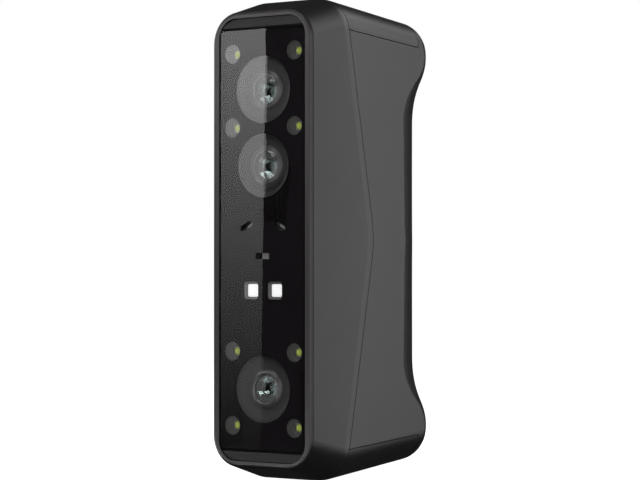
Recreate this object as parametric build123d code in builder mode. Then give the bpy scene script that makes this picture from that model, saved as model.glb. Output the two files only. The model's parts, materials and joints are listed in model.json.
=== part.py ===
"""Handheld structured-light scanner: waisted two-part casing, three cameras, lamps, line lasers.

The origin is at the bottom centre. The optical window faces -Y, +X is its right-hand side as seen
from the front, and +Z is up. Depths are measured backwards from the front rim, and heights up or
down from mid-height, because the casing is the same above and below its middle.
"""
import math
import os
from build123d import *

# Casing
HEIGHT = 172.8
DEPTH = 82.8
WALL = 2.0
SEAM_GAP = 0.3
FACE_HALF_WIDTH = 22.1
FACE_HALF_HEIGHT = 81.2
FACE_CORNER = 11.0
FACE_EDGE_ROUND = 1.3
SIDE_FLARE = 0.065
END_FLARE = 0.302
CORNER_GROWTH = 0.09
RIDGE_HALF_WIDTH = 24.25
RIDGE_DEPTH = 33.0
END_RIDGE_DEPTH = 18.35
RIDGE_ROUND = 14.0
RIDGE_TRIM = 0.113
SIDE_TAPER = 0.035
END_TAPER = 0.078
SIDE_LEAN = 0.0188
REAR_CORNER = 12.0
SEAM_DEPTH = 35.7
SEAM_SWEEP = 0.192
SEAM_VERTEX_ROUND = 38.0

# Back of the casing: a slim waist for the hand between two full ends
WAIST_DEPTH = 78.0
WAIST_SWELL = 0.047
WAIST_SOFTNESS = 12.0
WAIST_SIDE_END = 53.3
BULGE_SIDE_END = 71.2
WAIST_TOP = 44.0
BULGE_START = 69.0
BLEND_TURN = 0.62
END_CENTRE = 70.0

# End caps
CAP_SEAM_HEIGHT = 74.85
CAP_SEAM_SLOPE = 0.0585
CAP_BACK_DEPTH = 69.0
CAP_CORNER = 2.0
LIP_REACH = 2.5
TONGUE_DEPTH = 50.0

# Front pocket, glass and trim
POCKET_HALF_WIDTH = 19.2
POCKET_HALF_HEIGHT = 79.2
POCKET_CORNER = 7.3
GLASS_HALF_WIDTH = 18.8
GLASS_HALF_HEIGHT = 75.4
GLASS_CORNER = 1.6
GLASS_FRONT = 0.15
GLASS_THICK = 0.8
MASK_FRONT = GLASS_FRONT + GLASS_THICK
MASK_BACK = MASK_FRONT + 0.15
LEDGE_FRONT = 1.6
LEDGE_BACK = 3.6
LEDGE_HALF_WIDTH = 17.9
LEDGE_HALF_HEIGHT = 74.2
LEDGE_CORNER = 2.0
STRIP_INNER = 75.75
STRIP_OUTER = 79.0
STRIP_FRONT = 0.3
STRIP_FALL = 0.6
BEZEL_BACK = 3.1

# Cameras: height of the axis and radius of the clear window
CAMERAS = {"upper": (53.3, 11.95), "middle": (26.2, 11.3), "lower": (-53.3, 11.95)}
BAFFLE_WALL = 0.9
BAFFLE_FLOOR = 3.0
BAFFLE_BACK = 4.6
LENS_TIP = 1.6
LENS_RIM = 2.9
LENS_BACK = 9.5
LENS_RADIUS = 5.7
BARREL_RADIUS = 7.0
BARREL_FRONT = 2.2
THREAD_RADIUS = 6.0
THREAD_BACK = 22.0
HOLDER_RADIUS = 7.6
HOLDER_FRONT = 14.0
HOLDER_BACK = 26.0
SENSOR_BOARD_THICK = 1.2
SENSOR_BOARD_SIDE = 22.0

# Lamps
LAMP_X = 13.76
LAMP_HEIGHTS = (66.6, 40.0)
LAMP_WINDOW_RADIUS = 3.4
CUP_WALL = 0.3
CUP_FLOOR = 4.0
LAMP_BOARD_FRONT = 5.0
LAMP_BOARD_THICK = 1.0

# Line lasers, range sensor and infrared projectors
LASER_X = 7.3
LASER_HEIGHT = 4.7
SLIT_LENGTH = 5.5
SLIT_WIDTH = 2.0
SLIT_ANGLE = 30.0
LASER_RADIUS = 3.2
LASER_FRONT = 5.6
LASER_BACK = 20.0
RANGE_SLOT = (0.0, -6.0, 5.4, 2.1)
PROJECTOR_X = 5.3
PROJECTOR_HEIGHT = -18.2
PROJECTOR_WINDOW = 6.3
DIFFUSER_SIDE = 4.7
DIFFUSER_FRONT = 2.1
PROJECTOR_BOARD_FRONT = 5.0
RANGE_SENSOR_THICK = 0.6

# Inner frame and boards
FRAME_FRONT = 17.0
FRAME_BACK = 20.0
FRAME_HALF_WIDTH = 18.2
FRAME_HALF_HEIGHT = 80.2
BOSS_X = 11.0
BOSS_HEIGHT = 77.0
BOSS_RADIUS = 3.0
SCREW_RADIUS = 1.25
HEAD_RADIUS = 2.3
MAIN_BOARD_FRONT = 34.0
BOARD_THICK = 1.6
POST_X = 15.5
POST_HEIGHTS = (37.0, -36.0)

# Controls on the back
PANEL_HALF_WIDTH = 9.5
PANEL_TOP = 27.0
PANEL_BOTTOM = -27.0
PANEL_FRONT = 71.5
BUTTONS = {"scan": (11.0, 6.6), "plus": (-6.0, 4.2), "minus": (-18.0, 4.2)}
BUTTON_TRAVEL = 0.5
BUTTON_GAP = 0.3
BUTTON_BOARD_FRONT = 60.4
SWITCH_HEIGHT = 3.4

# Bottom connections
INSERT_DEPTH = 38.0
INSERT_RADIUS = 4.8
INSERT_BORE = 2.55
INSERT_LENGTH = 9.0
SEAT_RADIUS = 8.5
SEAT_RISE = 0.3
PORT_DEPTH = 58.0

FRONT_Y = -DEPTH / 2
MID_Z = HEIGHT / 2
END_TOP = HEIGHT / 2 + RIDGE_TRIM - END_TAPER * (BULGE_SIDE_END - END_RIDGE_DEPTH)
END_SLOPE = math.degrees(math.atan(END_TAPER))


def facing(depth):
    """Plane that faces forwards at a depth; its x is the part's X and its y is the height."""
    return Plane(origin=(0, FRONT_Y + depth, MID_Z), x_dir=(1, 0, 0), z_dir=(0, -1, 0))


def lengthwise(x):
    """Plane that faces +X; its x is the depth and its y is the height."""
    return Plane(origin=(x, FRONT_Y, MID_Z), x_dir=(0, 1, 0), z_dir=(1, 0, 0))


def level(height):
    """Plane that faces up at a height; its x is the part's X and its y is the depth."""
    return Plane(origin=(0, FRONT_Y, MID_Z + height), x_dir=(1, 0, 0), z_dir=(0, 0, 1))


def axis_at(x, height):
    """Axis that runs backwards through a point of the face."""
    return Axis((x, FRONT_Y, MID_Z + height), (0, 1, 0))


def rear_half_width(depth, height):
    """Half width of the casing behind its ridge."""
    return RIDGE_HALF_WIDTH - SIDE_TAPER * (depth - RIDGE_DEPTH) - SIDE_LEAN * abs(height)


def rear_half_height(depth):
    """Half height of the casing behind its ridge, with what the ridge's rounding takes off added."""
    return HEIGHT / 2 + RIDGE_TRIM - END_TAPER * (depth - END_RIDGE_DEPTH)


def flared_outline(depth, inset):
    """Outline of the flaring front, seen from the front."""
    half_width = FACE_HALF_WIDTH + SIDE_FLARE * depth - inset
    half_height = FACE_HALF_HEIGHT + END_FLARE * depth - inset
    corner = FACE_CORNER + CORNER_GROWTH * depth - inset
    with BuildSketch(facing(depth)) as outline:
        RectangleRounded(2 * half_width, 2 * half_height, corner)
    return outline.sketch


def tapered_outline(depth, inset):
    """Outline of the tapering rear, seen from the front: its sides lean in from a soft middle."""
    middle = rear_half_width(depth, 0) - inset
    top = rear_half_height(depth) - inset
    end = middle - SIDE_LEAN * top
    with BuildSketch(facing(depth)) as outline:
        with BuildLine():
            Polyline(
                (middle, 0),
                (end, top),
                (-end, top),
                (-middle, 0),
                (-end, -top),
                (end, -top),
                close=True,
            )
        make_face()
        rows = outline.vertices().group_by(Axis.Y)
        fillet(rows[0] + rows[-1], REAR_CORNER - inset)
        fillet(outline.vertices().filter_by(lambda v: abs(v.Y) < 0.01), 400)
    return outline.sketch


def waist_blend(height):
    """0 in the waist, 1 in the full ends, with a long soft start and a shorter finish."""
    t = (abs(height) - WAIST_TOP) / (BULGE_START - WAIST_TOP)
    t = min(max(t, 0), 1)
    if t < BLEND_TURN:
        return t * t / BLEND_TURN
    return 1 - (1 - t) ** 2 / (1 - BLEND_TURN)


def back_section(height, inset):
    """Level section of the casing: flat sides, then half an ellipse across the back."""
    blend = waist_blend(height)
    side_end = WAIST_SIDE_END + blend * (BULGE_SIDE_END - WAIST_SIDE_END)
    half_width = rear_half_width(side_end, height) + 0.08 - inset
    swell = WAIST_SWELL * (math.hypot(height, WAIST_SOFTNESS) - WAIST_SOFTNESS)
    back = WAIST_DEPTH + swell + blend * (DEPTH - WAIST_DEPTH - swell) - inset
    rise = (height - END_CENTRE) / (END_TOP - inset - END_CENTRE)
    if rise > 0:
        fall = math.sqrt(1 - rise**2)
        half_width = half_width - (REAR_CORNER - inset) * (1 - fall)
        back = side_end + fall * (back - side_end)
    front_half_width = half_width + 0.05 * side_end
    with BuildSketch(level(height)) as section:
        with BuildLine():
            Polyline(
                (-half_width, side_end),
                (-front_half_width, -2),
                (front_half_width, -2),
                (half_width, side_end),
            )
            EllipticalCenterArc((0, side_end), half_width, back - side_end, 0, arc_size=180)
        make_face()
    return section.sketch


def casing_form(inset):
    """Solid shape of the whole casing, or of the space inside a wall of the given thickness.

    Only the outside and the layers just under it have the soft ridge.
    """
    with BuildPart() as tapers:
        loft([tapered_outline(-3, inset), tapered_outline(90, inset)], ruled=True)
    with BuildPart() as flares:
        loft([flared_outline(0, inset), flared_outline(95, inset)], ruled=True)
    with BuildPart() as back:
        blend_heights = [WAIST_TOP + step * (END_CENTRE - WAIST_TOP) / 10 for step in range(11)]
        turns = (13, 26, 39, 52, 65, 75, 83)
        end_rise = END_TOP - inset - END_CENTRE
        end_heights = [END_CENTRE + end_rise * math.sin(math.radians(turn)) for turn in turns]
        loft([back_section(height, inset) for height in blend_heights + end_heights])
        mirror(about=level(0))
        loft([back_section(step * WAIST_TOP / 6, inset) for step in range(-6, 7)], ruled=True)
        with BuildSketch(lengthwise(-30)):
            for side in (1, -1):
                with Locations((BULGE_SIDE_END / 2 - 1, side * 84)):
                    Rectangle(BULGE_SIDE_END + 1.9, 29)
        extrude(amount=60)
    with BuildPart() as form:
        add(tapers.part)
        add(flares.part, mode=Mode.INTERSECT)
        if inset < WALL:
            ridge = form.edges().filter_by(lambda edge: abs(edge.tangent_at(0.5).Y) < 0.5)
            ridge = ridge.filter_by(lambda edge: 5 < edge.center().Y - FRONT_Y < 60)
            fillet(ridge, RIDGE_ROUND)
        add(back.part, mode=Mode.INTERSECT)
    return form.part


def seam_zone(shift):
    """Everything in front of the chevron seam, moved back by shift."""
    tip = SEAM_DEPTH + shift
    end = tip - SEAM_SWEEP * 95
    with BuildPart() as zone:
        with BuildSketch(lengthwise(-40)) as side:
            with BuildLine():
                Polyline((-5, -95), (end, -95), (tip, 0), (end, 95), (-5, 95), close=True)
            make_face()
            fillet(side.vertices().sort_by(Axis.X)[-1], SEAM_VERTEX_ROUND)
        extrude(amount=80)
    return zone.part


def cap_zone(grow):
    """The top end above the cap's seam, grown outwards on every side by grow."""
    back = CAP_BACK_DEPTH + grow
    seam_front = CAP_SEAM_HEIGHT + CAP_SEAM_SLOPE * 24 - grow
    seam_back = CAP_SEAM_HEIGHT - CAP_SEAM_SLOPE * (back - 24) - grow
    with BuildPart() as zone:
        with BuildSketch(lengthwise(-40)) as side:
            with BuildLine():
                Polyline((0, seam_front), (back, seam_back), (back, 95), (0, 95), close=True)
            make_face()
            fillet(side.vertices().sort_by(Axis.X)[-2:].sort_by(Axis.Y)[0], CAP_CORNER + grow)
        extrude(amount=80)
    return zone.part


def end_facet(depth, sign):
    """Plane on the casing's sloping end facet, facing out; its x is the part's X."""
    slope = math.radians(END_SLOPE)
    tilt = Vector(0, math.sin(slope), sign * math.cos(slope))
    height = sign * rear_half_height(depth)
    return Plane(origin=(0, FRONT_Y + depth, MID_Z + height), x_dir=(1, 0, 0), z_dir=tilt)


def pocket_outline(inset):
    """Outline of the front pocket, or of a piece that stands clear of its wall by inset."""
    half_width = POCKET_HALF_WIDTH - inset
    half_height = POCKET_HALF_HEIGHT - inset
    with BuildSketch() as outline:
        RectangleRounded(2 * half_width, 2 * half_height, POCKET_CORNER - inset)
    return outline.sketch


def save(part, name):
    """Name a finished piece and write it."""
    part.label = name
    export_step(part, f"parts/{name}.step")


os.makedirs("parts", exist_ok=True)

casing = casing_form(0)
cavity = casing_form(WALL)
lip_space = casing_form(WALL + 0.1)
lip_bore = casing_form(WALL + 1.3)

# Front casing: flared shell with the glass pocket, a ledge and bosses for the inner frame
with BuildPart() as inner_front:
    add(cavity)
    with BuildSketch(facing(LEDGE_BACK)):
        Rectangle(80, 200)
    extrude(amount=20, mode=Mode.SUBTRACT)

with BuildPart() as front_shell:
    add(casing)
    add(seam_zone(-SEAM_GAP / 2), mode=Mode.INTERSECT)
    fillet(front_shell.edges().group_by(Axis.Y)[0], FACE_EDGE_ROUND)
    add(inner_front.part, mode=Mode.SUBTRACT)
    with BuildSketch(facing(-1)):
        add(pocket_outline(0))
    extrude(amount=-(LEDGE_FRONT + 1), mode=Mode.SUBTRACT)
    with BuildSketch(facing(LEDGE_FRONT)):
        RectangleRounded(2 * LEDGE_HALF_WIDTH, 2 * LEDGE_HALF_HEIGHT, LEDGE_CORNER)
    extrude(amount=-(LEDGE_BACK - LEDGE_FRONT + 0.1), mode=Mode.SUBTRACT)
    with BuildSketch(facing(LEDGE_BACK)):
        with GridLocations(2 * BOSS_X, 2 * BOSS_HEIGHT, 2, 2):
            Circle(BOSS_RADIUS)
    extrude(amount=-(FRAME_FRONT - LEDGE_BACK))
    with BuildSketch(facing(FRAME_FRONT)):
        with GridLocations(2 * BOSS_X, 2 * BOSS_HEIGHT, 2, 2):
            Circle(SCREW_RADIUS)
    extrude(amount=7, mode=Mode.SUBTRACT)
save(front_shell.part, "front_shell")

# Rear casing: waisted shell with a locating lip, an opening for each cap and one for the controls
with BuildPart() as caps_space:
    add(cap_zone(SEAM_GAP))
    mirror(about=level(0))

with BuildPart() as lip_root:
    add(cavity)
    add(seam_zone(SEAM_GAP / 2), mode=Mode.SUBTRACT)

with BuildPart() as rear_lip:
    add(lip_space)
    add(seam_zone(SEAM_GAP / 2 + 0.5), mode=Mode.INTERSECT)
    add(lip_root.part)
    add(seam_zone(SEAM_GAP / 2 - LIP_REACH), mode=Mode.SUBTRACT)
    add(seam_zone(SEAM_GAP / 2 + LIP_REACH), mode=Mode.INTERSECT)
    add(lip_bore, mode=Mode.SUBTRACT)

with BuildPart() as rear_shell:
    add(casing)
    add(seam_zone(SEAM_GAP / 2), mode=Mode.SUBTRACT)
    add(cavity, mode=Mode.SUBTRACT)
    add(rear_lip.part)
    add(caps_space.part, mode=Mode.SUBTRACT)
    with BuildSketch(facing(DEPTH + 1)):
        with Locations((0, (PANEL_TOP + PANEL_BOTTOM) / 2)):
            SlotOverall(PANEL_TOP - PANEL_BOTTOM, 2 * PANEL_HALF_WIDTH, rotation=90)
    extrude(amount=DEPTH - PANEL_FRONT + 1, mode=Mode.SUBTRACT)
save(rear_shell.part, "rear_shell")

# End caps: saddle-shaped covers over the sloping ends, with snap tongues inside the rear casing
tongue_space = casing_form(WALL + 0.15)
tongue_bore = casing_form(WALL + 1.35)
with BuildPart() as tongue_root:
    add(cavity)
    add(cap_zone(0), mode=Mode.INTERSECT)

with BuildPart() as cap_tongue:
    add(tongue_space)
    add(tongue_root.part)
    add(tongue_bore, mode=Mode.SUBTRACT)
    with BuildSketch(lengthwise(-40)):
        with Locations((TONGUE_DEPTH, CAP_SEAM_HEIGHT - CAP_SEAM_SLOPE * (TONGUE_DEPTH - 24))):
            Rectangle(24, 7)
    extrude(amount=80, mode=Mode.INTERSECT)

with BuildPart() as top_cap:
    add(casing)
    add(seam_zone(SEAM_GAP / 2), mode=Mode.SUBTRACT)
    add(cap_zone(0), mode=Mode.INTERSECT)
    add(cavity, mode=Mode.SUBTRACT)
    add(cap_tongue.part)
save(top_cap.part, "top_cap")

port_plane = end_facet(PORT_DEPTH, -1)
with BuildPart() as bottom_cap:
    with BuildPart(mode=Mode.PRIVATE) as plain_cap:
        add(top_cap.part)
    mirror(plain_cap.part, about=level(0))
    with BuildSketch(end_facet(INSERT_DEPTH, -1).offset(-WALL / 2)):
        Circle(INSERT_RADIUS + 1.8)
    extrude(amount=-(INSERT_LENGTH - WALL / 2))
    with BuildSketch(end_facet(INSERT_DEPTH, -1).offset(SEAT_RISE)):
        Circle(SEAT_RADIUS)
    extrude(amount=-(SEAT_RISE + WALL / 2))
    with BuildSketch(end_facet(INSERT_DEPTH, -1).offset(SEAT_RISE)):
        Circle(INSERT_RADIUS)
    extrude(amount=-(INSERT_LENGTH + SEAT_RISE), mode=Mode.SUBTRACT)
    with BuildSketch(port_plane):
        SlotOverall(9.6, 3.9)
    extrude(amount=-5, mode=Mode.SUBTRACT)
save(bottom_cap.part, "bottom_cap")

with BuildPart() as tripod_insert:
    with BuildSketch(end_facet(INSERT_DEPTH, -1).offset(-0.2)):
        Circle(INSERT_RADIUS)
        Circle(INSERT_BORE, mode=Mode.SUBTRACT)
    extrude(amount=-(INSERT_LENGTH - 0.2))
save(tripod_insert.part, "tripod_insert")

with BuildPart() as usb_port:
    with BuildSketch(port_plane.offset(-0.6)):
        SlotOverall(9.0, 3.3)
        SlotOverall(8.4, 2.7, mode=Mode.SUBTRACT)
    extrude(amount=-7)
    with BuildSketch(port_plane.offset(-7.2)):
        SlotOverall(9.0, 3.3)
    extrude(amount=-0.8)
    with BuildSketch(port_plane.offset(-1.6)):
        Rectangle(6.6, 0.7)
    extrude(amount=-5.6)
save(usb_port.part, "usb_port")

with BuildPart() as port_board:
    with BuildSketch(port_plane.offset(-8.0)):
        Rectangle(22, 12)
    extrude(amount=-1.2)
save(port_board.part, "port_board")

# Front glass with the printed mask behind it, its gasket and the two trim strips
def slit_openings(grow):
    """Sketch of the two slanted slits and the slot between them, in front-facing coordinates."""
    slot_x, slot_height, slot_width, slot_thick = RANGE_SLOT
    with BuildSketch() as openings:
        for side in (-1, 1):
            with Locations((side * LASER_X, LASER_HEIGHT)):
                SlotOverall(SLIT_LENGTH + grow, SLIT_WIDTH + grow, rotation=-side * SLIT_ANGLE)
        with Locations((slot_x, slot_height)):
            Rectangle(slot_width + grow, slot_thick + grow)
    return openings.sketch


def optic_openings(camera_grow, lamp_radius, slit_grow, window_grow):
    """Sketch of every opening of the optical face, in front-facing coordinates."""
    with BuildSketch() as openings:
        for height, radius in CAMERAS.values():
            with Locations((0, height)):
                Circle(radius + camera_grow)
        with GridLocations(2 * LAMP_X, 2 * LAMP_HEIGHTS[0], 2, 2):
            Circle(lamp_radius)
        with GridLocations(2 * LAMP_X, 2 * LAMP_HEIGHTS[1], 2, 2):
            Circle(lamp_radius)
        with Locations((-PROJECTOR_X, PROJECTOR_HEIGHT), (PROJECTOR_X, PROJECTOR_HEIGHT)):
            RectangleRounded(PROJECTOR_WINDOW + window_grow, PROJECTOR_WINDOW + window_grow, 1.2)
        add(slit_openings(slit_grow))
    return openings.sketch


with BuildPart() as front_glass:
    with BuildSketch(facing(GLASS_FRONT)):
        RectangleRounded(2 * GLASS_HALF_WIDTH, 2 * GLASS_HALF_HEIGHT, GLASS_CORNER)
    extrude(amount=-GLASS_THICK)
    chamfer(front_glass.edges().group_by(Axis.Y)[0], 0.2)
    with BuildSketch(facing(GLASS_FRONT - 0.1)):
        add(slit_openings(0))
    extrude(amount=-(GLASS_THICK + 0.2), mode=Mode.SUBTRACT)
save(front_glass.part, "front_glass")

with BuildPart() as window_mask:
    with BuildSketch(facing(MASK_FRONT)):
        RectangleRounded(2 * GLASS_HALF_WIDTH - 0.4, 2 * GLASS_HALF_HEIGHT - 0.4, GLASS_CORNER)
        add(optic_openings(0, LAMP_WINDOW_RADIUS, 0, 0), mode=Mode.SUBTRACT)
    extrude(amount=-(MASK_BACK - MASK_FRONT))
save(window_mask.part, "window_mask")

with BuildPart() as glass_gasket:
    with BuildSketch(facing(MASK_BACK)):
        RectangleRounded(2 * GLASS_HALF_WIDTH, 2 * GLASS_HALF_HEIGHT, GLASS_CORNER)
        RectangleRounded(2 * LEDGE_HALF_WIDTH, 2 * LEDGE_HALF_HEIGHT, LEDGE_CORNER, mode=Mode.SUBTRACT)
    extrude(amount=-(LEDGE_FRONT - MASK_BACK))
save(glass_gasket.part, "glass_gasket")

for name, sign in (("upper_trim_strip", 1), ("lower_trim_strip", -1)):
    with BuildPart() as strip:
        with BuildSketch(lengthwise(-GLASS_HALF_WIDTH)):
            with BuildLine():
                inner = sign * STRIP_INNER
                outer = sign * STRIP_OUTER
                Polyline(
                    (STRIP_FRONT, inner),
                    (LEDGE_FRONT, inner),
                    (LEDGE_FRONT, outer),
                    (STRIP_FRONT + STRIP_FALL, outer),
                    close=True,
                )
            make_face()
        extrude(amount=2 * GLASS_HALF_WIDTH)
        with BuildSketch(facing(-1)):
            add(pocket_outline(0.15))
        extrude(amount=-5, mode=Mode.INTERSECT)
    save(strip.part, name)

# Black inner bezel behind the mask
with BuildPart() as optics_bezel:
    with BuildSketch(facing(MASK_BACK)):
        RectangleRounded(2 * LEDGE_HALF_WIDTH - 0.2, 2 * LEDGE_HALF_HEIGHT - 0.2, LEDGE_CORNER)
        cup_opening = LAMP_WINDOW_RADIUS + CUP_WALL + 0.05
        add(optic_openings(BAFFLE_WALL + 0.05, cup_opening, 0.2, 0), mode=Mode.SUBTRACT)
    extrude(amount=-(BEZEL_BACK - MASK_BACK))
save(optics_bezel.part, "optics_bezel")

# Cameras: baffle, lens barrel, front lens, holder and sensor board
for name, (height, window) in CAMERAS.items():
    with BuildPart() as baffle:
        with BuildSketch(lengthwise(0)):
            with BuildLine():
                outer = height + window + BAFFLE_WALL
                Polyline(
                    (MASK_BACK, height + window),
                    (MASK_BACK, outer),
                    (BAFFLE_BACK, outer),
                    (BAFFLE_BACK, height + BARREL_RADIUS + 0.2),
                    (BAFFLE_FLOOR, height + BARREL_RADIUS + 0.2),
                    (BAFFLE_FLOOR, height + window - 1.2),
                    close=True,
                )
            make_face()
        revolve(axis=axis_at(0, height))
        if name == "middle":
            for step in range(4):
                with BuildSketch(facing(BAFFLE_FLOOR)):
                    with Locations((0, height)):
                        Circle(BARREL_RADIUS + 0.75 + 0.7 * step)
                        Circle(BARREL_RADIUS + 0.4 + 0.7 * step, mode=Mode.SUBTRACT)
                extrude(amount=-0.4, mode=Mode.SUBTRACT)
    save(baffle.part, f"{name}_camera_baffle")

    with BuildPart() as barrel:
        with BuildSketch(lengthwise(0)):
            with BuildLine():
                Polyline(
                    (BARREL_FRONT, height + LENS_RADIUS + 0.05),
                    (BARREL_FRONT, height + BARREL_RADIUS - 0.4),
                    (BARREL_FRONT + 0.4, height + BARREL_RADIUS),
                    (12.0, height + BARREL_RADIUS),
                    (12.0, height + THREAD_RADIUS),
                    (THREAD_BACK, height + THREAD_RADIUS),
                    (THREAD_BACK, height + 4.4),
                    (LENS_BACK, height + 4.4),
                    (LENS_BACK, height + LENS_RADIUS + 0.05),
                    close=True,
                )
            make_face()
        revolve(axis=axis_at(0, height))
    save(barrel.part, f"{name}_lens_barrel")

    with BuildPart() as lens:
        with BuildSketch(lengthwise(0)):
            with BuildLine():
                Line((LENS_TIP, height), (LENS_BACK, height))
                Line((LENS_BACK, height), (LENS_BACK, height + LENS_RADIUS))
                Line((LENS_BACK, height + LENS_RADIUS), (LENS_RIM, height + LENS_RADIUS))
                TangentArc((LENS_TIP, height), (LENS_RIM, height + LENS_RADIUS), tangent=(0, 1))
            make_face()
        revolve(axis=axis_at(0, height))
    save(lens.part, f"{name}_front_lens")

    with BuildPart() as holder:
        with BuildSketch(facing(HOLDER_FRONT)):
            with Locations((0, height)):
                Circle(HOLDER_RADIUS)
        extrude(amount=-(HOLDER_BACK - HOLDER_FRONT))
        with BuildSketch(facing(FRAME_BACK)):
            with Locations((0, height)):
                RectangleRounded(SENSOR_BOARD_SIDE - 2, SENSOR_BOARD_SIDE - 2, 1.5)
        extrude(amount=-(HOLDER_BACK - FRAME_BACK))
        with BuildSketch(facing(HOLDER_FRONT)):
            with Locations((0, height)):
                Circle(THREAD_RADIUS)
        extrude(amount=-(HOLDER_BACK - HOLDER_FRONT), mode=Mode.SUBTRACT)
        with BuildSketch(facing(HOLDER_BACK)):
            with Locations((0, height)):
                Rectangle(12, 12)
        extrude(amount=2.5, mode=Mode.SUBTRACT)
    save(holder.part, f"{name}_lens_holder")

    with BuildPart() as sensor_board:
        with BuildSketch(facing(HOLDER_BACK)):
            with Locations((0, height)):
                RectangleRounded(SENSOR_BOARD_SIDE, SENSOR_BOARD_SIDE, 1)
        extrude(amount=-SENSOR_BOARD_THICK)
        with BuildSketch(facing(HOLDER_BACK)):
            with Locations((0, height)):
                Rectangle(9.5, 8.0)
        extrude(amount=1.4)
        with BuildSketch(facing(HOLDER_BACK + SENSOR_BOARD_THICK)):
            with Locations((0, height - 7)):
                Rectangle(12, 3)
        extrude(amount=-1.4)
    save(sensor_board.part, f"{name}_sensor_board")


# Lamps: moulded cup carriers round the outer cameras, their boards and the lamps themselves
def lamp_plate(front, thick, side_height, hole_radius):
    """Plate that carries four lamps round an outer camera, with clearance for the cameras."""
    middle = side_height * (LAMP_HEIGHTS[0] + LAMP_HEIGHTS[1]) / 2
    with BuildPart() as plate:
        with BuildSketch(facing(front)):
            with Locations((0, middle)):
                RectangleRounded(35.2, LAMP_HEIGHTS[0] - LAMP_HEIGHTS[1] + 7.4, 2)
            for height, window in CAMERAS.values():
                with Locations((0, height)):
                    Circle(window + BAFFLE_WALL + 0.15, mode=Mode.SUBTRACT)
            if hole_radius > 0:
                with Locations((0, middle)):
                    with GridLocations(2 * LAMP_X, LAMP_HEIGHTS[0] - LAMP_HEIGHTS[1], 2, 2):
                        Circle(hole_radius, mode=Mode.SUBTRACT)
        extrude(amount=-thick)
    return plate.part


for name, side in (("upper", 1), ("lower", -1)):
    middle = side * (LAMP_HEIGHTS[0] + LAMP_HEIGHTS[1]) / 2
    spread = LAMP_HEIGHTS[0] - LAMP_HEIGHTS[1]
    with BuildPart() as carrier:
        add(lamp_plate(BEZEL_BACK, CUP_FLOOR - BEZEL_BACK, side, LAMP_WINDOW_RADIUS))
        with BuildSketch(facing(MASK_BACK)):
            with Locations((0, middle)):
                with GridLocations(2 * LAMP_X, spread, 2, 2):
                    Circle(LAMP_WINDOW_RADIUS + CUP_WALL)
                    Circle(LAMP_WINDOW_RADIUS, mode=Mode.SUBTRACT)
        extrude(amount=-(CUP_FLOOR - MASK_BACK))
        with BuildSketch(facing(CUP_FLOOR - 0.6)):
            with Locations((0, middle)):
                with GridLocations(2 * LAMP_X, spread, 2, 2):
                    Circle(LAMP_WINDOW_RADIUS)
                    RectangleRounded(3.2, 3.2, 0.3, mode=Mode.SUBTRACT)
        extrude(amount=-0.6)
    save(carrier.part, f"{name}_lamp_carrier")

    save(lamp_plate(LAMP_BOARD_FRONT, LAMP_BOARD_THICK, side, 0), f"{name}_lamp_board")

    with BuildPart() as lamps:
        with BuildSketch(facing(LAMP_BOARD_FRONT)):
            with Locations((0, middle)):
                with GridLocations(2 * LAMP_X, spread, 2, 2):
                    Rectangle(3.0, 3.0)
        extrude(amount=1.1)
        with BuildSketch(facing(LAMP_BOARD_FRONT - 1.1)):
            with Locations((0, middle)):
                with GridLocations(2 * LAMP_X, spread, 2, 2):
                    RectangleRounded(2.2, 2.6, 0.6)
        extrude(amount=0.4)
    save(lamps.part, f"{name}_lamps")

# Line lasers in an aluminium bracket, each behind its slanted slit
for name, side in (("left", -1), ("right", 1)):
    with BuildPart() as module:
        with BuildSketch(facing(LASER_FRONT)):
            with Locations((side * LASER_X, LASER_HEIGHT)):
                Circle(LASER_RADIUS)
        extrude(amount=-(LASER_BACK - LASER_FRONT))
        chamfer(module.edges().group_by(Axis.Y)[-1], 0.5)
    save(module.part, f"{name}_laser_module")

with BuildPart() as line_lenses:
    for side in (-1, 1):
        with BuildSketch(facing(LASER_FRONT - 2.0)):
            with Locations((side * LASER_X, LASER_HEIGHT)):
                SlotOverall(4.6, 1.9, rotation=-side * SLIT_ANGLE)
        extrude(amount=-2.0)
save(line_lenses.part, "line_lenses")

with BuildPart() as laser_bracket:
    with BuildSketch(facing(9.0)):
        with Locations((0, LASER_HEIGHT)):
            RectangleRounded(30, 9.6, 1.5)
            with Locations((-LASER_X, 0), (LASER_X, 0)):
                Circle(LASER_RADIUS, mode=Mode.SUBTRACT)
    extrude(amount=-(FRAME_FRONT - 9.0))
save(laser_bracket.part, "laser_bracket")

# Range sensor and infrared projectors on their board
with BuildPart() as projector_board:
    with BuildSketch(facing(PROJECTOR_BOARD_FRONT)):
        with Locations((0, -13.5)):
            RectangleRounded(26, 23, 1.5)
    extrude(amount=-1.2)
    with BuildSketch(facing(PROJECTOR_BOARD_FRONT + 1.2)):
        with GridLocations(18, 0, 2, 1):
            with Locations((0, -21)):
                Circle(2)
    extrude(amount=-(FRAME_FRONT - PROJECTOR_BOARD_FRONT - 1.2))
save(projector_board.part, "projector_board")

with BuildPart() as range_sensor:
    slot_x, slot_height, slot_width, slot_thick = RANGE_SLOT
    with BuildSketch(facing(PROJECTOR_BOARD_FRONT)):
        with Locations((slot_x, slot_height)):
            Rectangle(slot_width, slot_thick + 0.7)
    extrude(amount=RANGE_SENSOR_THICK)
save(range_sensor.part, "range_sensor")

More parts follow.
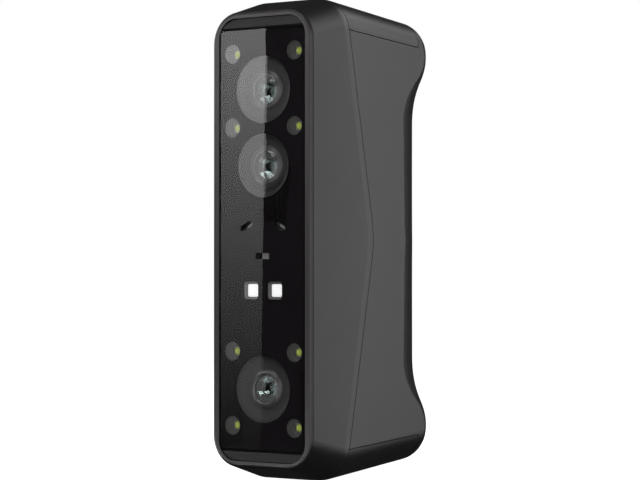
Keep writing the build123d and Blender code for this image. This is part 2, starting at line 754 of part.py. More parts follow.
for name, side in (("left", -1), ("right", 1)):
    with BuildPart() as projector:
        with BuildSketch(facing(PROJECTOR_BOARD_FRONT)):
            with Locations((side * PROJECTOR_X, PROJECTOR_HEIGHT)):
                RectangleRounded(PROJECTOR_WINDOW - 0.3, PROJECTOR_WINDOW - 0.3, 1.2)
        extrude(amount=PROJECTOR_BOARD_FRONT - DIFFUSER_FRONT)
        with BuildSketch(facing(DIFFUSER_FRONT)):
            with Locations((side * PROJECTOR_X, PROJECTOR_HEIGHT)):
                Rectangle(DIFFUSER_SIDE + 0.1, DIFFUSER_SIDE + 0.1)
        extrude(amount=-1.2, mode=Mode.SUBTRACT)
    save(projector.part, f"{name}_projector")

    with BuildPart() as diffuser:
        with BuildSketch(facing(DIFFUSER_FRONT)):
            with Locations((side * PROJECTOR_X, PROJECTOR_HEIGHT)):
                Rectangle(DIFFUSER_SIDE, DIFFUSER_SIDE)
        extrude(amount=-1.2)
    save(diffuser.part, f"{name}_diffuser")

# Inner frame: the rigid plate that holds the optics in line, with posts for the main board
with BuildPart() as optical_frame:
    with BuildSketch(facing(FRAME_FRONT)):
        RectangleRounded(2 * FRAME_HALF_WIDTH, 2 * FRAME_HALF_HEIGHT, 6)
        for height, window in CAMERAS.values():
            with Locations((0, height)):
                Circle(HOLDER_RADIUS, mode=Mode.SUBTRACT)
        with Locations((-LASER_X, LASER_HEIGHT), (LASER_X, LASER_HEIGHT)):
            Circle(LASER_RADIUS, mode=Mode.SUBTRACT)
        with Locations((0, -13)):
            RectangleRounded(14, 9, 2, mode=Mode.SUBTRACT)
        with Locations((0, -32)):
            RectangleRounded(22, 10, 2, mode=Mode.SUBTRACT)
        with GridLocations(2 * BOSS_X, 2 * BOSS_HEIGHT, 2, 2):
            Circle(SCREW_RADIUS, mode=Mode.SUBTRACT)
    extrude(amount=-(FRAME_BACK - FRAME_FRONT))
    with BuildSketch(facing(FRAME_BACK)):
        for height in POST_HEIGHTS:
            with Locations((-POST_X, height), (POST_X, height)):
                Circle(2.6)
    extrude(amount=-(MAIN_BOARD_FRONT - FRAME_BACK))
    with BuildSketch(facing(MAIN_BOARD_FRONT)):
        for height in POST_HEIGHTS:
            with Locations((-POST_X, height), (POST_X, height)):
                Circle(SCREW_RADIUS)
    extrude(amount=6, mode=Mode.SUBTRACT)
save(optical_frame.part, "optical_frame")


def screws(seat, length, places):
    """Pan-head screws whose heads stand behind a seat and whose shanks run forwards from it."""
    with BuildPart() as group:
        for x, height in places:
            with BuildSketch(facing(seat)):
                with Locations((x, height)):
                    Circle(SCREW_RADIUS)
            extrude(amount=length)
            with BuildSketch(facing(seat)):
                with Locations((x, height)):
                    Circle(HEAD_RADIUS)
            extrude(amount=-1.6)
            with BuildSketch(facing(seat + 1.6)):
                with Locations((x, height)):
                    RegularPolygon(1.1, 6)
            extrude(amount=0.9, mode=Mode.SUBTRACT)
    return group.part


frame_places = [(x, height) for x in (-BOSS_X, BOSS_X) for height in (-BOSS_HEIGHT, BOSS_HEIGHT)]
save(screws(FRAME_BACK, FRAME_BACK - FRAME_FRONT + 6, frame_places), "frame_screws")

# Main board with its processor, memory, connectors and heat spreader
with BuildPart() as main_board:
    with BuildSketch(facing(MAIN_BOARD_FRONT)):
        RectangleRounded(37, 110, 3)
        for height in POST_HEIGHTS:
            with Locations((-POST_X, height), (POST_X, height)):
                Circle(SCREW_RADIUS, mode=Mode.SUBTRACT)
    extrude(amount=-BOARD_THICK)
save(main_board.part, "main_board")

board_back = MAIN_BOARD_FRONT + BOARD_THICK
board_places = [(x, height) for x in (-POST_X, POST_X) for height in POST_HEIGHTS]
save(screws(board_back, BOARD_THICK + 5, board_places), "board_screws")

with BuildPart() as processor:
    with BuildSketch(facing(board_back)):
        with Locations((0, 8)):
            Rectangle(15, 15)
    extrude(amount=-1.4)
save(processor.part, "processor")

with BuildPart() as memory_chips:
    with BuildSketch(facing(board_back)):
        with Locations((-10, -14), (2, -14)):
            Rectangle(8, 12)
    extrude(amount=-1.1)
save(memory_chips.part, "memory_chips")

with BuildPart() as board_connectors:
    with BuildSketch(facing(MAIN_BOARD_FRONT)):
        with Locations((0, 48), (0, 22), (0, -48)):
            Rectangle(12, 3.2)
    extrude(amount=1.6)
    with BuildSketch(facing(board_back)):
        with Locations((10, -44), (-8, 44)):
            Rectangle(9, 4)
    extrude(amount=-2.0)
save(board_connectors.part, "board_connectors")

with BuildPart() as heat_spreader:
    with BuildSketch(facing(board_back + 1.4)):
        with Locations((0, 8)):
            RectangleRounded(30, 34, 2)
    extrude(amount=-1.8)
    for fin in range(7):
        with BuildSketch(facing(board_back + 3.2)):
            with Locations((-13.2 + 4.4 * fin, 8)):
                Rectangle(1.2, 33)
        extrude(amount=-5)
save(heat_spreader.part, "heat_spreader")

# Flat cables from each sensor board to the main board
with BuildPart() as camera_flex_cables:
    for height, target in ((53.3, 48), (26.2, 22), (-53.3, -48)):
        start = height - 7
        board_side = HOLDER_BACK + SENSOR_BOARD_THICK + 1.4
        with BuildSketch(lengthwise(-4)):
            with BuildLine():
                Polyline(
                    (board_side, start),
                    (board_side + 1.9, start),
                    (board_side + 1.9, target),
                    (32.4, target),
                )
            trace(line_width=0.3)
        extrude(amount=8)
save(camera_flex_cables.part, "camera_flex_cables")

# Back controls: a dark panel set in the rear casing, three buttons, a light ring and their board
skin = casing_form(0.35)
panel_middle = (PANEL_TOP + PANEL_BOTTOM) / 2
scan_height, scan_radius = BUTTONS["scan"]
ring_inner = scan_radius + BUTTON_GAP + 0.9
ring_outer = ring_inner + 0.9

with BuildPart() as control_panel:
    with BuildSketch(facing(DEPTH + 1)):
        with Locations((0, panel_middle)):
            SlotOverall(PANEL_TOP - PANEL_BOTTOM - 0.3, 2 * PANEL_HALF_WIDTH - 0.3, rotation=90)
        for height, radius in BUTTONS.values():
            with Locations((0, height)):
                Circle(radius + BUTTON_GAP, mode=Mode.SUBTRACT)
        with Locations((0, scan_height)):
            Circle(ring_outer, mode=Mode.SUBTRACT)
    extrude(amount=DEPTH - PANEL_FRONT + 1)
    with BuildSketch(facing(DEPTH + 1)):
        with Locations((0, scan_height)):
            Circle(ring_inner)
            Circle(scan_radius + BUTTON_GAP, mode=Mode.SUBTRACT)
    extrude(amount=DEPTH - PANEL_FRONT + 1)
    with BuildSketch(facing(PANEL_FRONT)):
        with Locations((0, scan_height)):
            Circle(ring_outer + 0.4)
            Circle(scan_radius + BUTTON_GAP, mode=Mode.SUBTRACT)
    extrude(amount=-1.2)
    add(skin, mode=Mode.INTERSECT)
save(control_panel.part, "control_panel")

with BuildPart() as status_light_guide:
    with BuildSketch(facing(DEPTH + 1)):
        with Locations((0, scan_height)):
            Circle(ring_outer)
            Circle(ring_inner, mode=Mode.SUBTRACT)
    extrude(amount=DEPTH - PANEL_FRONT + 1 - 1.2)
    add(skin, mode=Mode.INTERSECT)
save(status_light_guide.part, "status_light_guide")

crown = casing_form(0.1)
for name, (height, radius) in BUTTONS.items():
    with BuildPart() as button:
        with BuildSketch(facing(DEPTH + 1)):
            with Locations((0, height)):
                Circle(radius)
        extrude(amount=DEPTH - PANEL_FRONT + 1)
        with BuildSketch(facing(PANEL_FRONT)):
            with Locations((0, height)):
                Circle(radius + BUTTON_GAP + 0.7)
        extrude(amount=1.0)
        with BuildSketch(facing(PANEL_FRONT - 1.0)):
            with Locations((0, height)):
                Circle(1.6)
        extrude(amount=PANEL_FRONT - 1.0 - BUTTON_BOARD_FRONT - SWITCH_HEIGHT - BUTTON_TRAVEL - 0.2)
        add(crown, mode=Mode.INTERSECT)
    save(button.part, f"{name}_button")

with BuildPart() as button_board:
    with BuildSketch(facing(BUTTON_BOARD_FRONT)):
        with Locations((0, panel_middle)):
            RectangleRounded(16, 50, 2)
    extrude(amount=1.2)
save(button_board.part, "button_board")

with BuildPart() as tact_switches:
    for height, radius in BUTTONS.values():
        with BuildSketch(facing(BUTTON_BOARD_FRONT)):
            with Locations((0, height)):
                Rectangle(6, 6)
        extrude(amount=-(SWITCH_HEIGHT - 0.8))
        with BuildSketch(facing(BUTTON_BOARD_FRONT + SWITCH_HEIGHT - 0.8)):
            with Locations((0, height)):
                Circle(1.7)
        extrude(amount=-0.8)
save(tact_switches.part, "tact_switches")
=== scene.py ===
import json
import math

import bmesh
import bpy
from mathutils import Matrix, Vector


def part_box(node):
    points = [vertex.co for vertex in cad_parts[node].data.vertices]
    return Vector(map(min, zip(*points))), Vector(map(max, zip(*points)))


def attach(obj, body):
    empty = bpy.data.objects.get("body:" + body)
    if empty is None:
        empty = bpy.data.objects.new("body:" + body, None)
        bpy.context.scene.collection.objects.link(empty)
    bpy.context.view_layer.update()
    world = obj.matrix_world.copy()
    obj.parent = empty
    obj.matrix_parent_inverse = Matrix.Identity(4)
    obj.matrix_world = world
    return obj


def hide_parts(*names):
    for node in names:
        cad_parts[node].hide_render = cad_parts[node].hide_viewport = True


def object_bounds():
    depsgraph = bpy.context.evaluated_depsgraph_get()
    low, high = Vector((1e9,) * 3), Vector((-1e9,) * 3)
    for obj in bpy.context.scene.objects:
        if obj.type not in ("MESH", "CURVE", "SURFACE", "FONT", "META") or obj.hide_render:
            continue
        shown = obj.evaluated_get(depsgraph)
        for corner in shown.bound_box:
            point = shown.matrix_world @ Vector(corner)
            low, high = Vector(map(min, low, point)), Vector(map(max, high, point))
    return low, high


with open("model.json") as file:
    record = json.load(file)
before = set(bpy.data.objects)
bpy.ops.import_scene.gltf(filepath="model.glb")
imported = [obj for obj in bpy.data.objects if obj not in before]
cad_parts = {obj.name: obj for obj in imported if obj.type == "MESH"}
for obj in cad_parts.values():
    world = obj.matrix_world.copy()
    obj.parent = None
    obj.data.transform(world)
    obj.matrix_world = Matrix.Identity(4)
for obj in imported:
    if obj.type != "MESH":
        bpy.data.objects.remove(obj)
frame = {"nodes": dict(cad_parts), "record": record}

cad_low, cad_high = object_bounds()
nodes = frame["nodes"]
scene = bpy.context.scene
front_y = cad_low.y
mid_z = (cad_low.z + cad_high.z) / 2

MM = 0.001
RUBBED_EDGE = 0.4 * MM


# ---------------------------------------------------------------- camera
def make_camera():
    """A long lens to the object's right, a little below mid-height and tilted up slightly."""
    azimuth = math.radians(36)
    distance = 0.8232
    side_step = 0.02082
    height = mid_z - 0.01093
    forward = Vector((-math.sin(azimuth), math.cos(azimuth), 0))
    right = Vector((math.cos(azimuth), math.sin(azimuth), 0))
    data = bpy.data.cameras.new("photo_camera")
    data.sensor_width = 36
    data.lens = 130.44
    data.clip_start = 0.05
    data.clip_end = 20
    cam = bpy.data.objects.new("photo_camera", data)
    scene.collection.objects.link(cam)
    face_centre = Vector((0, front_y, height))
    cam.location = face_centre + right * side_step - forward * distance
    tilt = math.radians(0.741)
    aim = forward * math.cos(tilt) + Vector((0, 0, math.sin(tilt)))
    cam.rotation_mode = "QUATERNION"
    cam.rotation_quaternion = aim.to_track_quat("-Z", "Y")
    scene.camera = cam


# ---------------------------------------------------------------- materials
class Paint:
    """A procedural material in the making, with short calls for the nodes used here."""

    def __init__(self, name):
        self.material = bpy.data.materials.new(name)
        self.material.use_nodes = True
        self.nodes = self.material.node_tree.nodes
        self.shader = self.nodes["Principled BSDF"]
        self.coords = self.node("ShaderNodeTexCoord").outputs["Object"]

    def node(self, kind, **settings):
        made = self.nodes.new(kind)
        for key, value in settings.items():
            setattr(made, key, value)
        return made

    def link(self, source, target):
        self.material.node_tree.links.new(source, target)

    def noise(self, scale, detail=3.0, stretch=(1, 1, 1)):
        """Noise value from the piece's own coordinates; scale is in features per metre."""
        mapping = self.node("ShaderNodeMapping")
        mapping.inputs["Scale"].default_value = stretch
        self.link(self.coords, mapping.inputs["Vector"])
        texture = self.node("ShaderNodeTexNoise")
        texture.inputs["Scale"].default_value = scale
        texture.inputs["Detail"].default_value = detail
        self.link(mapping.outputs["Vector"], texture.inputs["Vector"])
        return texture.outputs["Fac"]

    def ramp(self, value, low, high, start=0.0, end=1.0):
        """Maps value from start..end to low..high, without going past them."""
        spread = self.node("ShaderNodeMapRange")
        spread.inputs["From Min"].default_value = start
        spread.inputs["From Max"].default_value = end
        spread.inputs["To Min"].default_value = low
        spread.inputs["To Max"].default_value = high
        self.link(value, spread.inputs["Value"])
        return spread.outputs["Result"]

    def maths(self, operation, value, number):
        """One operation on a value and a number."""
        made = self.node("ShaderNodeMath", operation=operation)
        made.inputs[1].default_value = number
        self.link(value, made.inputs[0])
        return made.outputs["Value"]

    def colours(self, value, first, second):
        """Blend by value of a first colour, or of a node's colour, and a second colour."""
        mix = self.node("ShaderNodeMix", data_type="RGBA")
        if isinstance(first, tuple):
            mix.inputs["A"].default_value = (*first, 1)
        else:
            self.link(first, mix.inputs["A"])
        mix.inputs["B"].default_value = (*second, 1)
        self.link(value, mix.inputs["Factor"])
        return mix.outputs["Result"]

    def bump(self, height, strength, distance):
        """Normal of a surface raised by height; distance is in metres."""
        bump = self.node("ShaderNodeBump")
        bump.inputs["Strength"].default_value = strength
        bump.inputs["Distance"].default_value = distance
        self.link(height, bump.inputs["Height"])
        return bump.outputs["Normal"]

    def edge(self):
        """1 on edges that handling would rub, 0 elsewhere."""
        bevel = self.node("ShaderNodeBevel", samples=4)
        bevel.inputs["Radius"].default_value = RUBBED_EDGE
        geometry = self.node("ShaderNodeNewGeometry")
        dot = self.node("ShaderNodeVectorMath", operation="DOT_PRODUCT")
        self.link(bevel.outputs["Normal"], dot.inputs[0])
        self.link(geometry.outputs["Normal"], dot.inputs[1])
        return self.ramp(dot.outputs["Value"], 1.0, 0.0, 0.80, 0.985)

    def feed(self, **sources):
        """Node outputs into the shader's sockets, named with underscores for spaces."""
        for key, source in sources.items():
            self.link(source, self.shader.inputs[key.replace("_", " ")])

    def set(self, **values):
        """Uniform values straight on the shader's sockets, named with underscores for spaces."""
        for key, value in values.items():
            socket = self.shader.inputs[key.replace("_", " ")]
            socket.default_value = (*value, 1) if isinstance(value, tuple) else value

    def surface(self, output):
        """Puts another output in the place of the shader."""
        self.nodes.remove(self.shader)
        self.link(output, self.nodes["Material Output"].inputs["Surface"])

    def blend(self, first, second):
        """Puts a mix of two shader nodes in the place of the shader, and returns the mix's factor."""
        mix = self.node("ShaderNodeMixShader")
        self.link(first.outputs["BSDF"], mix.inputs[1])
        self.link(second.outputs["BSDF"], mix.inputs[2])
        self.surface(mix.outputs["Shader"])
        return mix.inputs["Fac"]


def plastic(name, colour, rough, grain=2600, grain_depth=0.00002, spread=0.12, wear=0.25, specular=0.5):
    """Moulded plastic: mottled colour, fine spark-eroded grain, and edges rubbed a little lighter."""
    paint = Paint(name)
    patches = paint.ramp(paint.noise(70, 4), 0, 1, 0.3, 0.7)
    specks = paint.noise(grain * 1.6, 2)
    dark = tuple(c * (1 - spread) for c in colour)
    light = tuple(c * (1 + spread) for c in colour)
    rubbed = tuple(min(c * 1.6 + 0.01, 1) for c in colour)
    worn = paint.maths("MULTIPLY", paint.edge(), wear)
    paint.feed(
        Base_Color=paint.colours(worn, paint.colours(patches, dark, light), rubbed),
        Roughness=paint.ramp(specks, rough - 0.05, rough + 0.05, 0.3, 0.7),
        Normal=paint.bump(paint.noise(grain, 2), 0.35, grain_depth))
    paint.set(Specular_IOR_Level=specular, Specular_Tint=(1.0, 0.96, 0.995))
    return paint.material


def metal(name, colour, rough):
    """Machined metal: fine tool lines along one direction and faint stains."""
    paint = Paint(name)
    lines = paint.noise(900, 3, stretch=(1, 1, 14))
    stains = paint.ramp(paint.noise(120, 4), 0, 1, 0.35, 0.7)
    dark = tuple(c * 0.8 for c in colour)
    paint.feed(
        Base_Color=paint.colours(stains, dark, colour),
        Roughness=paint.ramp(lines, rough - 0.06, rough + 0.1, 0.3, 0.7),
        Normal=paint.bump(lines, 0.2, 0.00002))
    paint.set(Metallic=1.0)
    return paint.material


def board_material(name):
    """Green solder mask with faint copper tracks under it."""
    paint = Paint(name)
    upright = paint.node("ShaderNodeMapping")
    upright.inputs["Rotation"].default_value = (math.radians(90), 0, 0)
    paint.link(paint.coords, upright.inputs["Vector"])
    tracks = paint.node("ShaderNodeTexBrick")
    tracks.inputs["Scale"].default_value = 160
    tracks.inputs["Mortar Size"].default_value = 0.03
    tracks.inputs["Color1"].default_value = (0.012, 0.07, 0.035, 1)
    tracks.inputs["Color2"].default_value = (0.01, 0.055, 0.03, 1)
    tracks.inputs["Mortar"].default_value = (0.03, 0.13, 0.06, 1)
    paint.link(upright.outputs["Vector"], tracks.inputs["Vector"])
    paint.feed(Base_Color=tracks.outputs["Color"], Normal=paint.bump(paint.noise(1500, 2), 0.2, 0.00002))
    paint.set(Roughness=0.35)
    return paint.material


def clear_glass(name, mirror, tint):
    """Clear glass: straight through, with the faint mirror of its faces, stronger at a glancing angle."""
    paint = Paint(name)
    clear = paint.node("ShaderNodeBsdfTransparent")
    clarity = paint.colours(paint.noise(40, 2), (0.93, 0.93, 0.93), (0.95, 0.95, 0.95))
    paint.link(clarity, clear.inputs["Color"])
    gloss = paint.node("ShaderNodeBsdfAnisotropic", distribution="GGX")
    gloss.inputs["Color"].default_value = (*tint, 1)
    paint.link(paint.ramp(paint.noise(60, 3), 0.0, 0.006, 0.55, 0.8), gloss.inputs["Roughness"])
    facing = paint.node("ShaderNodeLayerWeight").outputs["Facing"]
    glancing = paint.maths("POWER", facing, 5)
    paint.link(paint.ramp(glancing, mirror, 1.0), paint.blend(clear, gloss))
    return paint.material


def film_material(name):
    """Frosted film: mostly clear, with a soft grey haze."""
    paint = Paint(name)
    clear = paint.node("ShaderNodeBsdfTransparent")
    haze = paint.node("ShaderNodeBsdfDiffuse")
    greys = paint.colours(paint.noise(800, 3), (0.23, 0.23, 0.222), (0.28, 0.28, 0.272))
    paint.link(greys, haze.inputs["Color"])
    paint.link(paint.bump(paint.noise(4000, 2), 0.3, 0.00001), haze.inputs["Normal"])
    paint.blend(clear, haze).default_value = 0.16
    return paint.material


def painted_glow_diffuser_material(name):
    """Opal diffuser: white, slightly grained, with a painted glow from its emission, since no lamp lights it
    from behind.
    """
    paint = Paint(name)
    paint.feed(
        Base_Color=paint.colours(paint.noise(900, 3), (0.86, 0.87, 0.88), (0.95, 0.95, 0.95)),
        Normal=paint.bump(paint.noise(5000, 2), 0.3, 0.00002))
    # The emission is a painted glow that brightens the window; no lamp shines through it.
    paint.set(Roughness=0.5, Emission_Color=(1.0, 1.0, 1.0), Emission_Strength=0.54)
    return paint.material


def phosphor_material(name):
    """Yellow-green lamp phosphor under clear silicone."""
    paint = Paint(name)
    paint.feed(
        Base_Color=paint.colours(paint.noise(1800, 2), (0.36, 0.38, 0.03), (0.62, 0.6, 0.1)),
        Normal=paint.bump(paint.noise(2500, 2), 0.3, 0.00003))
    paint.set(Roughness=0.25, Emission_Color=(0.74, 0.92, 0.08), Emission_Strength=0.42)
    return paint.material


casing = plastic(
    "casing_plastic", (0.0165, 0.0150, 0.0162), 0.38, grain=3600, grain_depth=0.000012, wear=0.12)
trim = plastic(
    "trim_plastic", (0.014, 0.0134, 0.014), 0.40, grain_depth=0.000012, wear=0.1, specular=0.36)
black_plastic = plastic("black_plastic", (0.012, 0.012, 0.012), 0.5)
mask_ink = plastic(
    "mask_ink", (0.0084, 0.0070, 0.0084), 0.6, grain=900, grain_depth=0.0000005, wear=0, specular=0.02)
button_plastic = plastic("button_plastic", (0.03, 0.029, 0.03), 0.4)
baffle_plastic = plastic(
    "baffle_plastic", (0.036, 0.0354, 0.0358), 0.55,
    grain=1800, grain_depth=0.000006, spread=0.03, specular=0.2)
gasket_rubber = plastic("gasket_rubber", (0.008, 0.008, 0.008), 0.8, grain=1500)
chip_black = plastic("chip_black", (0.02, 0.02, 0.022), 0.45, grain=5000)
chip_grey = plastic("chip_grey", (0.40, 0.40, 0.41), 0.5, grain=5000, spread=0.05, specular=0.2)
funnel_grey = plastic("funnel_grey", (0.11, 0.11, 0.112), 0.45, grain=5000, spread=0.05)
connector_plastic = plastic("connector_plastic", (0.55, 0.5, 0.4), 0.5)
lens_black = plastic("lens_black", (0.06, 0.059, 0.06), 0.3, grain=2000, grain_depth=0.000004)
ring_black = plastic(
    "ring_black", (0.08, 0.08, 0.081), 0.14, grain=900, grain_depth=0.000002, specular=0.9)
trap_grey = plastic(
    "trap_grey", (0.13, 0.13, 0.131), 0.45, grain=2000, grain_depth=0.000004, specular=0.25)
lens_seat = plastic("lens_seat", (0.5, 0.5, 0.505), 0.5, grain=3000, grain_depth=0.000006, spread=0.04)
iris_black = plastic("iris_black", (0.16, 0.16, 0.16), 0.5, grain=3000)
seal_black = plastic("seal_black", (0.0015, 0.0015, 0.0015), 0.6, grain=3000, wear=0, specular=0.05)
flex_film = plastic("flex_film", (0.35, 0.16, 0.03), 0.25, grain=400)
light_guide = plastic("light_guide", (0.5, 0.55, 0.55), 0.35, grain=3000)
mark_white = plastic("mark_white", (0.55, 0.55, 0.55), 0.45, grain=3000, spread=0.05)
brass = metal("brass", (0.72, 0.5, 0.22), 0.3)
gold = metal("gold_pads", (0.85, 0.6, 0.25), 0.25)
steel = metal("steel", (0.5, 0.5, 0.51), 0.3)
aluminium = metal("aluminium", (0.6, 0.6, 0.62), 0.42)
board = board_material("circuit_board")
glass = clear_glass("window_glass", 0.0213, (1, 1, 1))
dome_glass = clear_glass("dome_glass", 0.035, (0.8, 1.0, 0.97))
inner_glass = clear_glass("inner_glass", 0.018, (0.7, 1.0, 0.94))
film = film_material("lamp_film")
diffuser = painted_glow_diffuser_material("diffuser_white")
phosphor = phosphor_material("lamp_phosphor")

SLOT_MATERIALS = {
    "casing_plastic": casing,
    "trim_plastic": trim,
    "black_plastic": black_plastic,
    "mask_ink": mask_ink,
    "button_plastic": button_plastic,
    "baffle_plastic": baffle_plastic,
    "gasket_rubber": gasket_rubber,
    "chip_black": chip_black,
    "connector_plastic": connector_plastic,
    "lens_black": lens_black,
    "flex_film": flex_film,
    "light_guide": light_guide,
    "brass": brass,
    "steel": steel,
    "aluminium": aluminium,
    "circuit_board": board,
    "window_glass": glass,
    "lens_glass": dome_glass,
    "diffuser_white": diffuser,
    "lamp_phosphor": phosphor,
}


def paint_cad_nodes():
    """Every CAD node takes the material of its record slot; the cover glass casts no shadow."""
    for entry in frame["record"]["subparts"]:
        obj = nodes[entry["node"]]
        for slot in obj.material_slots:
            slot.material = SLOT_MATERIALS[entry["material_slot"]]
    nodes["front_glass"].visible_shadow = False


# ---------------------------------------------------------------- mesh pieces
def at(x, depth, height):
    """World place of a point given in millimetres across, behind the front face and above mid-height."""
    return Vector((x * MM, front_y + depth * MM, mid_z + height * MM))


def piece(name, verts, faces, material, slot, body="casing", sharp=32, rounding=0.0):
    """A mesh that belongs to the scanner, with outward normals and soft shading.

    Edges that turn by more than so many degrees stay sharp, or are rounded by so many millimetres.
    """
    mesh = bpy.data.meshes.new(name)
    mesh.from_pydata([tuple(v) for v in verts], [], faces)
    work = bmesh.new()
    work.from_mesh(mesh)
    bmesh.ops.remove_doubles(work, verts=work.verts, dist=0.000001)
    bmesh.ops.recalc_face_normals(work, faces=work.faces)
    work.to_mesh(mesh)
    work.free()
    mesh.polygons.foreach_set("use_smooth", [True] * len(mesh.polygons))
    mesh.set_sharp_from_angle(angle=math.radians(sharp))
    mesh.materials.append(material)
    obj = bpy.data.objects.new(name, mesh)
    scene.collection.objects.link(obj)
    if rounding:
        bevel = obj.modifiers.new("rounding", "BEVEL")
        bevel.width = rounding * MM
        bevel.segments = 3
        bevel.limit_method = "ANGLE"
        bevel.angle_limit = math.radians(40)
    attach(obj, body)
    return obj


def turned(profile, x, height, closed=True, steps=96, squeeze=1.0):
    """Verts and faces of a profile of (depth, radius) turned round an axis that runs backwards."""
    verts, faces, rings = [], [], []
    for depth, radius in profile:
        if radius < 0.001:
            rings.append([len(verts)] * steps)
            verts.append(at(x, depth, height))
            continue
        rings.append(list(range(len(verts), len(verts) + steps)))
        for step in range(steps):
            turn = 2 * math.pi * step / steps
            verts.append(at(x + squeeze * radius * math.cos(turn), depth, height + radius * math.sin(turn)))
    pairs = list(zip(rings, rings[1:]))
    if closed:
        pairs.append((rings[-1], rings[0]))
    for first, second in pairs:
        for step in range(steps):
            after = (step + 1) % steps
            corners = [first[step], first[after], second[after], second[step]]
            face = [c for i, c in enumerate(corners) if c not in corners[:i]]
            if len(face) > 2:
                faces.append(face)
    return verts, faces


def join(*parts):
    """Several (verts, faces) pairs as one."""
    verts, faces = [], []
    for more, sides in parts:
        start = len(verts)
        verts += more
        faces += [[start + i for i in side] for side in sides]
    return verts, faces


def rounded_outline(x, height, width, tall, corner, turn=0.0):
    """Points of a rounded rectangle, anticlockwise from the front, turned by so many degrees."""
    points = []
    steps = 5
    cosine, sine = math.cos(math.radians(turn)), math.sin(math.radians(turn))
    for quarter, (right, up) in enumerate(((1, 1), (-1, 1), (-1, -1), (1, -1))):
        for step in range(steps + 1):
            angle = math.radians(90 * quarter + 90 * step / steps)
            px = right * (width / 2 - corner) + corner * math.cos(angle)
            pz = up * (tall / 2 - corner) + corner * math.sin(angle)
            points.append((x + px * cosine - pz * sine, height + px * sine + pz * cosine))
    return points


def plate(points, front, back, hole=None):
    """An outline made into a plate between two depths, with an optional hole of as many points."""
    count = len(points)
    verts = [at(px, front, pz) for px, pz in points] + [at(px, back, pz) for px, pz in points]
    faces = [[i, (i + 1) % count, count + (i + 1) % count, count + i] for i in range(count)]
    if hole is None:
        faces += [list(range(count)), list(range(count, 2 * count))]
        return verts, faces
    verts += [at(px, front, pz) for px, pz in hole] + [at(px, back, pz) for px, pz in hole]
    for i in range(count):
        after = (i + 1) % count
        faces.append([2 * count + i, 2 * count + after, 3 * count + after, 3 * count + i])
        faces.append([i, after, 2 * count + after, 2 * count + i])
        faces.append([count + i, count + after, 3 * count + after, 3 * count + i])
    return verts, faces


def stacked(layers, x, height, ring):
    """Rounded squares at (depth, width, corner), skinned into a ring or a capped block."""
    verts = []
    for depth, width, corner in layers:
        outline = rounded_outline(x, height, width, width, corner)
        verts += [at(px, depth, pz) for px, pz in outline]
    count = len(outline)
    starts = list(range(0, len(verts), count))
    pairs = list(zip(starts, starts[1:]))
    faces = []
    if ring:
        pairs.append((starts[-1], 0))
    else:
        faces = [list(range(count)), list(range(starts[-1], len(verts)))]
    for first, second in pairs:
        for i in range(count):
            after = (i + 1) % count
            faces.append([first + i, first + after, second + after, second + i])
    return verts, faces


def arc(centre, radius, start, end, steps):
    """Points (depth, radius) on an arc in a turned profile; angles in degrees."""
    points = []
    for step in range(steps + 1):
        angle = math.radians(start + (end - start) * step / steps)
        points.append((centre[0] + radius * math.cos(angle), centre[1] + radius * math.sin(angle)))
    return points


# ---------------------------------------------------------------- cameras
# Height above mid-height and radius of the round window of each camera, in millimetres
CAMERAS = {"upper": (53.3, 11.95), "middle": (26.2, 11.3), "lower": (-53.3, 11.95)}


def dome(tip, edge_radius, sphere, steps=14):
    """Profile of a spherical cap from its rim to its tip."""
    half = math.degrees(math.asin(edge_radius / sphere))
    points = []
    for step in range(steps + 1):
        angle = math.radians(half * (1 - step / steps))
        points.append((tip + sphere - sphere * math.cos(angle), sphere * math.sin(angle)))
    return points


